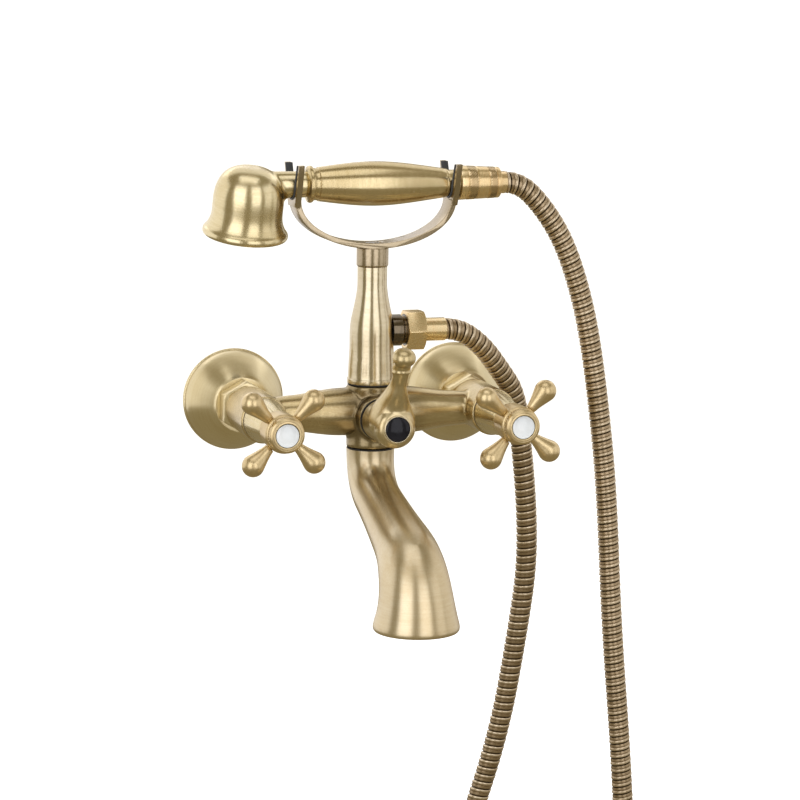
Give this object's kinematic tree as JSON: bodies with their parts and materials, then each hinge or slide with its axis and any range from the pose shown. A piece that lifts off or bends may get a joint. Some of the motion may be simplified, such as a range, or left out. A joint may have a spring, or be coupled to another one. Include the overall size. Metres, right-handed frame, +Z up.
{
  "type": "bath shower mixer",
  "caption": "wall-mounted bath shower mixer in brushed antique brass with cross handles, a diverter lever, a swan-neck spout and a hand shower on a cradle with a metal hose",
  "frame": {"origin": "on the finished wall, midway between the two inlet threads, at their height", "axes": "+X to the right as the user sees it, +Y into the wall along the inlet threads, +Z up along the riser"},
  "size_m": [0.3052, 0.2162, 0.7372],
  "materials": {
    "antique_brass": "brushed antique brass, lacquered",
    "golden_brass": "satin golden brass",
    "dark_brass": "dark patinated brass",
    "plain_brass": "machined brass",
    "hose_metal": "bronzed double-interlock hose",
    "porcelain": "glazed white porcelain",
    "black_gloss": "glossy black enamel",
    "black_nylon": "black nylon",
    "rubber": "black rubber",
    "steel": "stainless steel"
  },
  "bodies": {
    "root": {"hot_wall_flange": "antique_brass", "hot_union_nut": "antique_brass", "hot_bonnet": "antique_brass", "hot_wall_union": "plain_brass", "hot_headwork": "plain_brass", "hot_union_washer": "rubber", "hot_bonnet_seal": "rubber", "cold_wall_flange": "antique_brass", "cold_union_nut": "antique_brass", "cold_bonnet": "antique_brass", "cold_wall_union": "plain_brass", "cold_headwork": "plain_brass", "cold_union_washer": "rubber", "cold_bonnet_seal": "rubber", "mixer_body": "antique_brass", "riser": "antique_brass", "spout": "antique_brass", "aerator_ring": "antique_brass", "diverter_cartridge": "plain_brass", "outlet_nipple": "dark_brass", "outlet_hose_nut": "golden_brass", "lower_hose_sleeve": "golden_brass", "diverter_seal": "rubber", "riser_seal": "rubber", "spout_seal": "rubber", "outlet_washer": "rubber", "aerator_insert": "black_nylon", "cradle_screw": "steel", "cradle_washer": "steel", "hose_lower": "hose_metal"},
    "hot_handle": {"hot_handle_hub": "antique_brass", "hot_handle_arms": "antique_brass", "hot_handle_ring": "antique_brass", "hot_spindle": "plain_brass", "hot_handle_button": "porcelain", "hot_handle_screw": "steel"},
    "cold_handle": {"cold_handle_hub": "antique_brass", "cold_handle_arms": "antique_brass", "cold_handle_ring": "antique_brass", "cold_spindle": "plain_brass", "cold_handle_button": "porcelain", "cold_handle_screw": "steel"},
    "diverter": {"diverter_lever": "antique_brass", "diverter_bezel": "antique_brass", "diverter_spindle": "plain_brass", "diverter_cap": "black_gloss", "diverter_screw": "steel"},
    "cradle": {"cradle": "antique_brass", "left_fork_liner": "black_nylon", "right_fork_liner": "black_nylon", "hose_upper": "hose_metal"},
    "handset": {"handset_head": "antique_brass", "handset_grip": "antique_brass", "handset_end": "antique_brass", "handset_hose_nut": "golden_brass", "upper_hose_sleeve": "golden_brass", "handset_washer": "rubber", "spray_plate": "black_nylon", "spray_screw": "steel"}
  },
  "joints": [
    {"name": "hot_handle_turn", "type": "hinge", "parent": "root", "child": "hot_handle", "pos_m": [-0.075, -0.12, 0], "axis": [0, -1, 0], "range_deg": [0, 90]},
    {"name": "cold_handle_turn", "type": "hinge", "parent": "root", "child": "cold_handle", "pos_m": [0.075, -0.12, 0], "axis": [0, -1, 0], "range_deg": [-90, 0]},
    {"name": "diverter_lever_turn", "type": "hinge", "parent": "root", "child": "diverter", "pos_m": [0, -0.1, -0.002], "axis": [0, -1, 0], "range_deg": [-45, 45]},
    {"name": "cradle_swivel", "type": "hinge", "parent": "root", "child": "cradle", "pos_m": [0, -0.065, 0.1], "axis": [0, 0, 1], "range_deg": [-25, 25], "deforming": ["hose_upper", "hose_lower"]},
    {"name": "handset_lift", "type": "slide", "parent": "cradle", "child": "handset", "axis": [0, 0, 1], "range_m": [0, 0.06], "deforming": ["hose_upper", "hose_lower"]}
  ]
}
